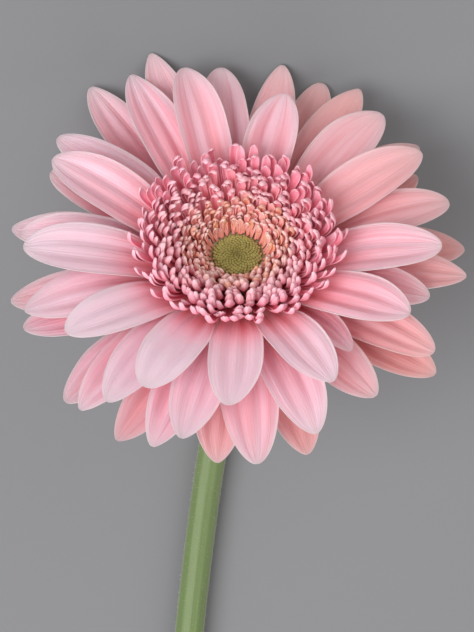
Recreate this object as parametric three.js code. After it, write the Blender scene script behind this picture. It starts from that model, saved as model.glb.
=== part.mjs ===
// A cut gerbera lying on a table. The scape lies along +Y, and the head rests on the tips of its lowest ray
// florets with its face turned up and towards -Y. Lengths are in millimetres and angles in degrees.
// The row frame has +Z up, and its origin on the table under the middle of the flower's box.
//
// The head is modelled in a frame of its own: the origin on the head's axis where the top ray florets leave
// the receptacle, +Z along the axis out of the face, +X along the row's +X, and +Y towards the scape's side.
import * as THREE from "three";

// ---- Driving dimensions: the whole flower -------------------------------------------------------------
const HEAD_RADIUS = 54; // from the axis to the tip of a typical ray floret of the lower whorls
const HEAD_TILT = 45; // lean of the face from straight up
const SCAPE_LENGTH = 320; // along its curve, from the head to the cut
const RIM_PRESS = 2.3; // the head's weight bends up the petals it rests on by this much
const CLEARANCE = 0.3; // gap between pieces that grow from or lie against each other

// ---- Receptacle: the fleshy plate that every floret and bract grows from -------------------------------
const RECEPTACLE_RADIUS = 15;
const RECEPTACLE_TOP = 1.2; // height of its floret-bearing face
const RECEPTACLE_FOOT_RADIUS = 4.2;
const RECEPTACLE_FOOT_DEPTH = 6.5; // from the lowest ray floret down to the foot

// ---- Ray florets --------------------------------------------------------------------------------------
const PETAL_THICKNESS = 0.5;
const PETAL_WIDTH = 13;
const CLAW_WIDTH = 4.4; // at the foot of the petal
const PETAL_TIP_WIDTH = 1.8;
const WIDEST_AT = 0.6; // share of the petal's length from its foot
const TOP_FOOT_HEIGHT = -0.8; // foot of the uppermost petals
const FOOT_STEP = 1.5; // each level of petals starts this much lower
const TOP_TIP_HEIGHT = 11; // tips of the uppermost petals
const TIP_STEP = 4.2; // each level's tips are this much lower
const SAG_STEP = 1.4; // and hang this much lower on the scape's side, or stand higher on the other
const PETAL_ARCH = 1.0; // rise of the petal above an even slope
const PETAL_CUP = 1.5; // depth of the trough across its widest part

// Azimuth round the axis, level (0 is uppermost), reach beyond HEAD_RADIUS, width beyond PETAL_WIDTH.
const PETALS = [
  [7, 0, -3, 1.5],
  [38, 0, -5, 0.5],
  [65, 0, -5, 0.5],
  [90, 0, -4.5, 0],
  [115, 0, -6, 0],
  [148, 0, -7.5, 0.5],
  [174, 0, -5, 0.5],
  [208, 0, -3, 1],
  [254, 0, -10, -0.5],
  [284, 0, -0.5, -1],
  [335, 0, -3.5, 0.5],
  [20, 1, 0, 0],
  [54, 1, 0, 0],
  [78, 1, 2.5, 0],
  [109, 1, 2, 0.5],
  [133, 1.2, -14, -5],
  [159, 1, -6, -1],
  [193, 1, -1, 0.5],
  [227, 1, -1, 0.5],
  [275, 1, -0.5, -0.5],
  [299, 1, 3.5, -0.5],
  [324, 1, 0.5, 0],
  [357, 1, -2, 0],
  [26, 2, 1, 0],
  [48, 2.3, 2, 0],
  [70, 2, 2.5, -0.5],
  [94, 2, 4.5, 1],
  [128, 2, -2.5, 0.5],
  [151, 2.3, 0, 0],
  [173, 2, 1.5, -0.5],
  [216, 1.9, 1, -0.5],
  [237, 1.7, 3, -1],
  [258, 2.3, 3, -1.5],
  [291, 2.1, 8, -1.5],
  [308, 2.6, 9, -1],
  [352, 2, 1, 0],
  [12, 3, 1.5, 0],
  [42, 3, 2, -1],
  [61, 3.5, 1, -1],
  [84, 3, 0, 0],
  [109, 3, 1, 0],
  [146, 3, 2, 0],
  [186, 3, 1.5, 0],
  [207, 3, -3, -0.5],
  [230, 3, -3, -1.5],
  [246, 3.6, 3, -1],
  [274, 3.2, -3, -1],
  [328, 3.4, 0, 0],
];

// ---- Disc: rings of short trans florets round a ring of disc florets and an eye of closed buds -----------
const DISC_RADIUS = 26.6; // to the tips of the outermost trans florets
const DISC_RIM_HEIGHT = 9.2;
const EYE_HEIGHT = 3.1; // the disc is a bowl, and the eye is its floor
const EYE_DIMPLE = 0.5;
const TRANS_RINGS = 6;
const FLORETS_PER_RING = 34;
const FLORET_THICKNESS = 0.9;
const EYE_GAP = 2.6; // from the eye to the tips of the innermost ring

// ---- Involucre: two rows of bracts under the head --------------------------------------------------------
const BRACTS_PER_ROW = 21;
const BRACT_THICKNESS = 0.7;
const BRACT_OVERHANG = 2.4; // tips of the inner row beyond the receptacle
const BRACT_ROW_SETBACK = 1.2; // the outer row's tips stand this far inside the inner row's

// ---- Scape: the leafless stalk -----------------------------------------------------------------------------
const NECK_RADIUS = 3.7;
const COLLAR_RADIUS = 4.3; // it widens where it meets the head
const CUT_RADIUS = 4.1;
const COLLAR_LENGTH = 14;
const CUT_SLANT = 30; // of the cut face from square
const SIDEWAYS_LEAN = 8; // the scape leaves the head this far off straight, seen from above
const SIDEWAYS_BOW = 34; // and curves back by this much over its length

// ---- Materials -----------------------------------------------------------------------------------------------
const matt = (color, roughness) => new THREE.MeshStandardMaterial({ color, roughness, metalness: 0 });
const PETAL_PINK = matt("#efb6c0", 0.55);
const TRANS_PINK = matt("#dd7f92", 0.55);
const FLORET_CREAM = matt("#e9c7a4", 0.6);
const EYE_GREEN = matt("#a9ab62", 0.7);
const RECEPTACLE_GREEN = matt("#b9c58a", 0.7);
const BRACT_GREEN = matt("#6f8a45", 0.7);
const SCAPE_GREEN = matt("#7c9a55", 0.6);

// ---- Small helpers ---------------------------------------------------------------------------------------------
const rad = THREE.MathUtils.degToRad;
const { lerp, smoothstep } = THREE.MathUtils;

// A repeatable value from -1 to 1 for piece i, different for each trait.
function vary(i, trait) {
  const wave = Math.sin(i * 12.9898 + trait * 78.233) * 43758.5453;
  return 2 * (wave - Math.floor(wave)) - 1;
}

function piece(name, geometry, material) {
  const mesh = new THREE.Mesh(geometry, material);
  mesh.name = name;
  return mesh;
}

// A closed mesh from its corners and the faces between them, each face a list of three or four corners.
function solid(corners, faces) {
  const geometry = new THREE.BufferGeometry().setFromPoints(corners);
  const triangles = faces.flatMap(([a, b, c, d]) => (d === undefined ? [a, b, c] : [a, b, c, a, c, d]));
  geometry.setIndex(triangles);
  return geometry;
}

// ---- Ray florets -------------------------------------------------------------------------------------------------
const LEVELS = PETALS.map(([, level]) => level);
const LOWEST_FOOT = TOP_FOOT_HEIGHT - FOOT_STEP * Math.max(...LEVELS);
const PETAL_STATIONS = [0, 0.16, 0.34, 0.52, 0.7, 0.85, 0.95, 1]; // shares of the length, closer near the tip
const PETAL_STRIPS = 4; // facets across

// Half the petal's width at a share of its length: a narrow foot, a broad blade and a blunt point.
function halfWidth(share, width) {
  const widest = width / 2;
  if (share < WIDEST_AT) {
    const s = 1 - share / WIDEST_AT;
    return lerp(CLAW_WIDTH / 2, widest, 1 - s ** 1.8);
  }
  const s = (share - WIDEST_AT) / (1 - WIDEST_AT);
  return lerp(PETAL_TIP_WIDTH / 2, widest, (1 - s ** 2.2) ** 0.75);
}

// The line down the middle of a petal, in the plane through the axis: x is the radius and y the height.
function petalMidline(azimuth, level, reach) {
  const foot = TOP_FOOT_HEIGHT - FOOT_STEP * level;
  const tip = TOP_TIP_HEIGHT - TIP_STEP * level - SAG_STEP * level * Math.sin(rad(azimuth));
  const start = RECEPTACLE_RADIUS + CLEARANCE;
  return new THREE.QuadraticBezierCurve(
    new THREE.Vector2(start, foot),
    new THREE.Vector2(lerp(start, reach, 0.45), lerp(foot, tip, 0.75) + PETAL_ARCH),
    new THREE.Vector2(reach, tip),
  );
}

// A box of PETAL_STRIPS by PETAL_STATIONS facets, laid along the midline and troughed across.
function petalGeometry(index, [azimuth, level, extraReach, extraWidth]) {
  const reach = HEAD_RADIUS + extraReach;
  const midline = petalMidline(azimuth, level, reach);
  const width = PETAL_WIDTH + extraWidth;
  const roll = rad(4 * vary(index, 1));
  const sweep = 1.2 * vary(index, 2); // sideways drift of the tip
  const steps = PETAL_STATIONS.length - 1;
  const box = new THREE.BoxGeometry(1, 1, 1, steps, PETAL_STRIPS, 1);
  const at = box.getAttribute("position");
  for (let i = 0; i < at.count; i += 1) {
    const share = PETAL_STATIONS[Math.round((at.getX(i) + 0.5) * steps)];
    const across = 2 * at.getY(i); // -1 to 1
    const point = midline.getPoint(share);
    const slope = midline.getTangent(share);
    const side = halfWidth(share, width) * across;
    const trough = PETAL_CUP * Math.sin(Math.PI * 0.9 * share) * across ** 2;
    const lift = trough + side * Math.sin(roll) + at.getZ(i) * PETAL_THICKNESS;
    at.setXYZ(
      i,
      point.x - slope.y * lift,
      side * Math.cos(roll) + sweep * share ** 2,
      point.y + slope.x * lift,
    );
  }
  return box.rotateZ(rad(azimuth));
}

// ---- Crowns: a ring of fingers joined at the foot, for florets and bracts ------------------------------------------
// foot, middle and tip are [radius, height] on the line down each finger. Each finger is a bent wedge.
function crownGeometry({ count, foot, middle, tip, thickness, middleWidth, tipWidth, turn = 0 }) {
  const step = (2 * Math.PI) / count;
  const along = new THREE.Vector2(tip[0] - foot[0], tip[1] - foot[1]).normalize();
  const inward = new THREE.Vector2(-along.y, along.x); // across the finger, towards its upper face
  const corners = [];
  const at = (radius, height, angle, sideways = 0) =>
    corners.push(
      new THREE.Vector3(
        radius * Math.cos(angle) - sideways * Math.sin(angle),
        radius * Math.sin(angle) + sideways * Math.cos(angle),
        height,
      ),
    ) - 1;
  const bandHeight = thickness;
  const rings = Array.from({ length: count }, (_, i) => {
    const angle = (i - 0.5) * step + turn;
    const inner = foot[0] - thickness / 2;
    const outer = foot[0] + thickness / 2;
    return {
      innerLow: at(inner, foot[1], angle),
      outerLow: at(outer, foot[1], angle),
      innerHigh: at(inner, foot[1] + bandHeight, angle),
      outerHigh: at(outer, foot[1] + bandHeight, angle),
    };
  });
  const faces = [];
  for (let i = 0; i < count; i += 1) {
    const a = rings[i];
    const b = rings[(i + 1) % count];
    const angle = i * step + turn;
    const half = thickness / 2;
    const middleCorner = (face, side) =>
      at(middle[0] + face * half * inward.x, middle[1] + face * half * inward.y, angle, (side * middleWidth) / 2);
    const upperA = middleCorner(1, -1);
    const upperB = middleCorner(1, 1);
    const lowerA = middleCorner(-1, -1);
    const lowerB = middleCorner(-1, 1);
    const tipA = at(tip[0], tip[1], angle, -tipWidth / 2);
    const tipB = at(tip[0], tip[1], angle, tipWidth / 2);
    faces.push(
      [a.innerLow, b.innerLow, b.outerLow, a.outerLow],
      [a.innerLow, a.innerHigh, b.innerHigh, b.innerLow],
      [a.outerLow, b.outerLow, b.outerHigh, a.outerHigh],
      [upperA, upperB, b.innerHigh, a.innerHigh],
      [a.outerHigh, b.outerHigh, lowerB, lowerA],
      [a.outerHigh, lowerA, upperA, a.innerHigh],
      [b.innerHigh, upperB, lowerB, b.outerHigh],
      [tipA, tipB, upperB, upperA],
      [lowerA, lowerB, tipB, tipA],
      [lowerA, tipA, upperA],
      [upperB, tipB, lowerB],
    );
  }
  return solid(corners, faces);
}

// ---- Disc ------------------------------------------------------------------------------------------------------------
const DISC_RINGS = TRANS_RINGS + 1; // the innermost ring is of true disc florets
const FOOT_PITCH = FLORET_THICKNESS + CLEARANCE;
const FIRST_FOOT_RADIUS = RECEPTACLE_RADIUS - FLORET_THICKNESS;
const EYE_RADIUS = FIRST_FOOT_RADIUS - FOOT_PITCH * (DISC_RINGS - 1) - FLORET_THICKNESS / 2 - 1.5 * CLEARANCE;
const FLORET_TIP_PITCH = (DISC_RADIUS - EYE_RADIUS - EYE_GAP) / (DISC_RINGS - 1);
const FLORET_FOOT_HEIGHT = RECEPTACLE_TOP + CLEARANCE;

// Height of the floret tips at a radius: steep out of the eye, and level at the rim.
function bowlHeight(radius) {
  const share = Math.max(0, (radius - EYE_RADIUS) / (DISC_RADIUS - EYE_RADIUS));
  return lerp(EYE_HEIGHT, DISC_RIM_HEIGHT, Math.sin((Math.PI / 2) * share ** 0.8));
}

function floretRing(ring) {
  const footRadius = FIRST_FOOT_RADIUS - ring * FOOT_PITCH;
  const tipRadius = DISC_RADIUS - ring * FLORET_TIP_PITCH;
  const tipHeight = bowlHeight(tipRadius);
  const footHeight = FLORET_FOOT_HEIGHT;
  const middleRadius = lerp(footRadius, tipRadius, 0.46);
  const pitch = (2 * Math.PI * middleRadius) / FLORETS_PER_RING;
  return crownGeometry({
    count: FLORETS_PER_RING,
    foot: [footRadius, footHeight],
    middle: [middleRadius, lerp(footHeight, tipHeight, 0.58)],
    tip: [tipRadius, tipHeight],
    thickness: FLORET_THICKNESS,
    middleWidth: pitch * 0.62,
    tipWidth: pitch * 0.35,
    turn: ((ring % 2) * Math.PI) / FLORETS_PER_RING,
  });
}

function eyeGeometry() {
  const r = EYE_RADIUS;
  const profile = [
    [0, FLORET_FOOT_HEIGHT],
    [r, FLORET_FOOT_HEIGHT],
    [r, EYE_HEIGHT - 0.6],
    [r * 0.75, EYE_HEIGHT],
    [r * 0.35, EYE_HEIGHT],
    [0, EYE_HEIGHT - EYE_DIMPLE],
  ];
  return lathe(profile, 20);
}

// ---- Receptacle and involucre --------------------------------------------------------------------------------------------
const FOOT_HEIGHT = LOWEST_FOOT - RECEPTACLE_FOOT_DEPTH;
const SHOULDER_HEIGHT = LOWEST_FOOT - PETAL_THICKNESS;

function lathe(profile, segments) {
  const turned = new THREE.LatheGeometry(
    profile.map(([radius, height]) => new THREE.Vector2(radius, height)),
    segments,
  );
  return turned.rotateX(Math.PI / 2); // LatheGeometry turns about Y
}

function receptacleGeometry() {
  const r = RECEPTACLE_RADIUS;
  const foot = RECEPTACLE_FOOT_RADIUS;
  const profile = [
    [0, FOOT_HEIGHT],
    [foot, FOOT_HEIGHT],
    [lerp(foot, r, 0.45), lerp(FOOT_HEIGHT, SHOULDER_HEIGHT, 0.22)],
    [lerp(foot, r, 0.85), lerp(FOOT_HEIGHT, SHOULDER_HEIGHT, 0.62)],
    [r, SHOULDER_HEIGHT],
    [r, RECEPTACLE_TOP],
    [0, RECEPTACLE_TOP],
  ];
  return lathe(profile, 32);
}

// The bracts cup the receptacle. Row 0 is the inner one, and row 1 lies against its back.
function bractRow(row) {
  const drop = row * (BRACT_THICKNESS + CLEARANCE);
  const footRadius = COLLAR_RADIUS + CLEARANCE + BRACT_THICKNESS / 2;
  const tipRadius = RECEPTACLE_RADIUS + BRACT_OVERHANG - row * BRACT_ROW_SETBACK;
  const tipHeight = LOWEST_FOOT - PETAL_THICKNESS - CLEARANCE - BRACT_THICKNESS - row * 2.4;
  const footHeight = FOOT_HEIGHT - CLEARANCE - BRACT_THICKNESS - drop;
  const middleRadius = lerp(footRadius, tipRadius, 0.58);
  return crownGeometry({
    count: BRACTS_PER_ROW,
    foot: [footRadius, footHeight - CLEARANCE],
    middle: [middleRadius, lerp(footHeight, tipHeight, 0.3) - 0.4 * BRACT_THICKNESS - drop * 0.6],
    tip: [tipRadius, tipHeight],
    thickness: BRACT_THICKNESS,
    middleWidth: ((2 * Math.PI * middleRadius) / BRACTS_PER_ROW) * 0.85,
    tipWidth: 0.5,
    turn: (row * Math.PI) / BRACTS_PER_ROW,
  });
}

// ---- Head: everything above the scape, tilted as one --------------------------------------------------------------------------
const TILT = rad(HEAD_TILT);

// How high each corner of a piece of the head stands above the head's origin once the head is tilted.
function heights(geometry) {
  const at = geometry.getAttribute("position");
  return Array.from({ length: at.count }, (_, i) => at.getY(i) * Math.sin(TILT) + at.getZ(i) * Math.cos(TILT));
}

// Bends a petal that would reach through the table up along the head's axis, until its tip lies on the table.
function bendOntoTable(petal, headHeight) {
  const at = petal.getAttribute("position");
  const weight = (i) => ((Math.hypot(at.getX(i), at.getY(i)) - RECEPTACLE_RADIUS) / HEAD_RADIUS) ** 2;
  const lifts = heights(petal).map((height, i) => (-height - headHeight) / (weight(i) * Math.cos(TILT)));
  const lift = Math.max(...lifts);
  if (lift <= 0) return;
  for (let i = 0; i < at.count; i += 1) {
    at.setZ(i, at.getZ(i) + lift * weight(i));
  }
}

function headGroup() {
  const head = new THREE.Group();
  const petals = PETALS.map((petal, i) => petalGeometry(i, petal));
  const headHeight = -Math.min(...petals.flatMap(heights)) - RIM_PRESS;
  head.position.z = headHeight;
  head.rotation.x = TILT;
  head.add(piece("receptacle", receptacleGeometry(), RECEPTACLE_GREEN));
  petals.forEach((petal, i) => {
    bendOntoTable(petal, headHeight);
    head.add(piece(`ray_floret_${String(i + 1).padStart(2, "0")}`, petal, PETAL_PINK));
  });
  for (let ring = 0; ring < TRANS_RINGS; ring += 1) {
    head.add(piece(`trans_florets_${ring + 1}`, floretRing(ring), TRANS_PINK));
  }
  head.add(piece("disc_florets", floretRing(TRANS_RINGS), FLORET_CREAM));
  head.add(piece("disc_eye", eyeGeometry(), EYE_GREEN));
  head.add(piece("inner_bracts", bractRow(0), BRACT_GREEN));
  head.add(piece("outer_bracts", bractRow(1), BRACT_GREEN));
  head.updateMatrixWorld(true);
  return head;
}

// ---- Scape -------------------------------------------------------------------------------------------------------------------------
function scapeRadius(distance) {
  const collar = 1 - smoothstep(distance, 0, COLLAR_LENGTH);
  const shaft = lerp(NECK_RADIUS, CUT_RADIUS, distance / SCAPE_LENGTH);
  return lerp(shaft, COLLAR_RADIUS, collar);
}

// Out of the back of the head along its axis, down to the table in one bend, and then along it.
function scapeCurve(head) {
  const top = head.localToWorld(new THREE.Vector3(0, 0, FOOT_HEIGHT - CLEARANCE));
  const outOfHead = new THREE.Vector3(0, Math.sin(TILT), -Math.cos(TILT));
  const alongTable = new THREE.Vector3(Math.sin(rad(SIDEWAYS_LEAN)), Math.cos(rad(SIDEWAYS_LEAN)), 0);
  const drop = top.z - NECK_RADIUS;
  const bendRadius = drop / (1 - Math.cos(TILT));
  const handle = bendRadius * (4 / 3) * Math.tan(TILT / 4);
  const landing = top.clone().addScaledVector(alongTable, bendRadius * Math.sin(TILT));
  landing.z = scapeRadius(bendRadius * TILT);
  const neck = new THREE.CubicBezierCurve3(
    top,
    top.clone().addScaledVector(outOfHead, handle),
    landing.clone().addScaledVector(alongTable, -handle),
    landing,
  );
  const lying = SCAPE_LENGTH - neck.getLength();
  const end = landing.clone().addScaledVector(alongTable, lying);
  end.x -= SIDEWAYS_BOW;
  end.z = CUT_RADIUS;
  const halfway = landing.clone().addScaledVector(alongTable, lying / 2);
  halfway.z = (landing.z + end.z) / 2;
  const rest = new THREE.QuadraticBezierCurve3(landing, halfway, end);
  const curve = new THREE.CurvePath();
  curve.add(neck);
  curve.add(rest);
  return curve;
}

// A capped cylinder of unit radius, bent along the curve and given the scape's own radius.
function scapeGeometry(curve) {
  const length = curve.getLength();
  const steps = 26;
  const cylinder = new THREE.CylinderGeometry(1, 1, 1, 12, steps);
  const at = cylinder.getAttribute("position");
  const up = new THREE.Vector3(0, 0, 1);
  for (let i = 0; i < at.count; i += 1) {
    const share = (0.5 - at.getY(i)) ** 1.4; // 0 at the head, with shorter steps in the bend
    const radius = scapeRadius(share * length);
    const tangent = curve.getTangentAt(Math.min(share, 1));
    const side = up.clone().cross(tangent).normalize();
    const over = tangent.clone().cross(side);
    const slant = share > 0.999 ? -at.getZ(i) * radius * Math.tan(rad(CUT_SLANT)) : 0;
    const point = curve.getPointAt(Math.min(share, 1));
    point.addScaledVector(side, at.getX(i) * radius);
    point.addScaledVector(over, at.getZ(i) * radius);
    point.addScaledVector(tangent, slant);
    at.setXYZ(i, point.x, point.y, point.z);
  }
  return cylinder;
}

// ---- The flower ------------------------------------------------------------------------------------------------------------------------
function flowerGroup() {
  const flower = new THREE.Group();
  const head = headGroup();
  flower.add(head);
  flower.add(piece("scape", scapeGeometry(scapeCurve(head)), SCAPE_GREEN));
  const box = new THREE.Box3().setFromObject(flower, true);
  const middle = box.getCenter(new THREE.Vector3());
  flower.position.set(-middle.x, -middle.y, -box.min.z);
  return flower;
}

export default flowerGroup();
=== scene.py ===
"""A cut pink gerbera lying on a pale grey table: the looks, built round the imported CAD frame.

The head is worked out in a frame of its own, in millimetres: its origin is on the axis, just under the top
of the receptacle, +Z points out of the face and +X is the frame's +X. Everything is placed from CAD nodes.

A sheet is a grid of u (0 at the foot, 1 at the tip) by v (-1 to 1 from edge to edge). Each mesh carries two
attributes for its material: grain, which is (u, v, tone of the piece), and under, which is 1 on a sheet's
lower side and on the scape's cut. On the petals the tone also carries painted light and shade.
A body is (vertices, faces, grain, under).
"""

import math

import bpy
import numpy as np
from mathutils import Matrix, Vector


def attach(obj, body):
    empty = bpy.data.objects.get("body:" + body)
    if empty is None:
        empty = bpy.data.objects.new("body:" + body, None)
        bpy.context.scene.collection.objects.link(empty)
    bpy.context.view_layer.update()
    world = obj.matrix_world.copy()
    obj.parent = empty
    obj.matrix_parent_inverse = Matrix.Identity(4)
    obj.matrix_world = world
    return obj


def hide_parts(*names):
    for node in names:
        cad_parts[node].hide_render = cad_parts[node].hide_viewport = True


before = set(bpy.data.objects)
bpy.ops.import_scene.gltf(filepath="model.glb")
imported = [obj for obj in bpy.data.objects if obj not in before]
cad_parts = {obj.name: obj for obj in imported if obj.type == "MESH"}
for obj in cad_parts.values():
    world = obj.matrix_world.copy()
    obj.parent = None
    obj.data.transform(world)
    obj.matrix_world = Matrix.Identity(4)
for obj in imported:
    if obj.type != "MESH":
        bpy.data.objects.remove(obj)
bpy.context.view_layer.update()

MM = 0.001
FULL_TURN = 2 * math.pi
PETALS = 48
RECEPTACLE_TOP = 1.2  # height of the receptacle's top above the head's origin

# Fineness of the surfaces
PETAL_ALONG, PETAL_ACROSS = 64, 33
FLORET_ALONG, FLORET_ACROSS = 21, 9
BRACT_ALONG, BRACT_ACROSS = 22, 9
SCAPE_ALONG, SCAPE_AROUND = 340, 60
SMOOTHING_PASSES = 2  # how often the normals of a sheet are evened out

# Where the random numbers of each kind of piece start
PETAL_SEED, RING_SEED, DISC_SEED, EYE_SEED, BRACT_SEED, HAIR_SEED = 217, 317, 337, 347, 357, 367

# ---- Geometry from the CAD nodes ----------------------------------------------------------


def corners(node):
    """The different vertices of a CAD node, in metres."""
    points = np.array([v.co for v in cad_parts[node].data.vertices], float)
    return np.unique(np.round(points, 6), axis=0)


def unit(vector):
    """Vectors of length one in the same directions."""
    return vector / np.linalg.norm(vector, axis=-1, keepdims=True)


plate = corners("receptacle")
plate_centre = plate.mean(0)
AXIS = unit((corners("trans_florets_1").mean(0) - plate_centre) * (0, 1, 1))  # the head tilts about X alone
HEAD = np.array([(1.0, 0.0, 0.0), np.cross(AXIS, (1.0, 0.0, 0.0)), AXIS])
HEAD_ORIGIN = plate_centre + AXIS * ((plate @ AXIS).max() - RECEPTACLE_TOP * MM - plate_centre @ AXIS)


def to_head(points):
    """Points of the frame in the head's frame, in millimetres."""
    return (points - HEAD_ORIGIN) @ HEAD.T / MM


def from_head(points):
    """Points of the head's frame in the frame, in metres."""
    return HEAD_ORIGIN + (points * MM) @ HEAD


def turned(points, angle):
    """Points of the head's frame, turned about its axis."""
    c, s = math.cos(angle), math.sin(angle)
    return points @ np.array([(c, s, 0), (-s, c, 0), (0, 0, 1)])


# ---- Mesh building ------------------------------------------------------------------------


def grid_faces(rows, columns, start=0, flip=False, closed=False):
    """Quads over a grid of vertices numbered row by row. closed joins the last column to the first."""
    r, c = np.meshgrid(np.arange(rows - 1), np.arange(columns if closed else columns - 1), indexing="ij")
    a = start + r * columns + c
    b = start + r * columns + (c + 1) % columns
    quads = np.stack([a, b, b + columns, a + columns], -1).reshape(-1, 4)
    return quads[:, ::-1] if flip else quads


def rim_faces(rows, columns):
    """The quads that close the edge between an upper grid and the lower grid numbered after it."""
    index = np.arange(rows * columns).reshape(rows, columns)
    loop = np.concatenate([index[0, :-1], index[:-1, -1], index[-1, :0:-1], index[:0:-1, 0]])
    ahead = np.roll(loop, -1)
    lower = rows * columns
    return np.stack([loop, ahead, ahead + lower, loop + lower], -1)


def closed_sheet(surface, thickness, grain):
    """A thin closed body, with half of its thickness on each side of a mid-surface."""
    rows, columns = surface.shape[:2]
    along = np.gradient(surface, axis=0)
    across = np.gradient(surface, axis=1)
    normal = unit(np.cross(along, across))
    for _ in range(SMOOTHING_PASSES):  # so that the sheet's corners don't fold over
        near = np.pad(normal, ((1, 1), (1, 1), (0, 0)), mode="edge")
        normal = unit(4 * normal + near[:-2, 1:-1] + near[2:, 1:-1] + near[1:-1, :-2] + near[1:-1, 2:])
    half = normal * thickness[..., None] / 2
    points = np.concatenate([(surface + half).reshape(-1, 3), (surface - half).reshape(-1, 3)])
    lower = rows * columns
    sides = [grid_faces(rows, columns, flip=True), grid_faces(rows, columns, lower)]
    faces = np.concatenate([*sides, rim_faces(rows, columns)]).tolist()
    grain = np.concatenate([grain.reshape(-1, 3)] * 2)
    under = np.repeat([0.0, 1.0], lower)
    return points, faces, grain, under


def gathered(bodies):
    """One body from several."""
    faces, count = [], 0
    for points, body_faces, _, _ in bodies:
        faces.extend([index + count for index in face] for face in body_faces)
        count += len(points)
    points, _, grain, under = zip(*bodies)
    return np.concatenate(points), faces, np.concatenate(grain), np.concatenate(under)


def make_piece(name, body, material, nodes):
    """A Blender piece from a body in metres. It stands for the CAD nodes it is given."""
    points, faces, grain, under = body
    mesh = bpy.data.meshes.new(name)
    mesh.from_pydata(points.tolist(), [], faces)
    grain_attribute = mesh.attributes.new("grain", "FLOAT_VECTOR", "POINT")
    grain_attribute.data.foreach_set("vector", grain.astype(np.float32).ravel())
    under_attribute = mesh.attributes.new("under", "FLOAT", "POINT")
    under_attribute.data.foreach_set("value", under.astype(np.float32))
    mesh.polygons.foreach_set("use_smooth", [True] * len(mesh.polygons))
    mesh.materials.append(material)
    mesh.update()
    obj = bpy.data.objects.new(name, mesh)
    bpy.context.scene.collection.objects.link(obj)
    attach(obj, "root")
    if nodes:
        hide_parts(*nodes)


def make_head_piece(name, body, material, nodes):
    """A Blender piece from a body in the head's frame."""
    points, *rest = body
    make_piece(name, (from_head(points), *rest), material, nodes)


def uv_grid(rows, columns):
    """The even shares u and v of every point of a grid."""
    return np.meshgrid(np.linspace(0, 1, rows), np.linspace(-1, 1, columns), indexing="ij")


def grain_of(u, v, tone):
    """The grain of every point of a surface that has one tone."""
    return np.stack([u, v, np.full_like(u, tone)], -1)


def progress(value, low, high):
    """How far value is on the way from low to high, from 0 to 1 and never beyond."""
    return np.clip((value - low) / (high - low), 0, 1)


def smooth_noise(rng, where, waves, reach):
    """A smooth wobble from about -1 to 1 along a line. reach is the most turns that a wave makes."""
    total = np.zeros_like(where)
    for _ in range(waves):
        strength = rng.uniform(0.4, 1)
        turns = rng.uniform(0.5, reach)
        total = total + strength * np.sin(where * turns * FULL_TURN + rng.uniform(0, 6.3))
    return total / waves


# ---- Materials ----------------------------------------------------------------------------


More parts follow.
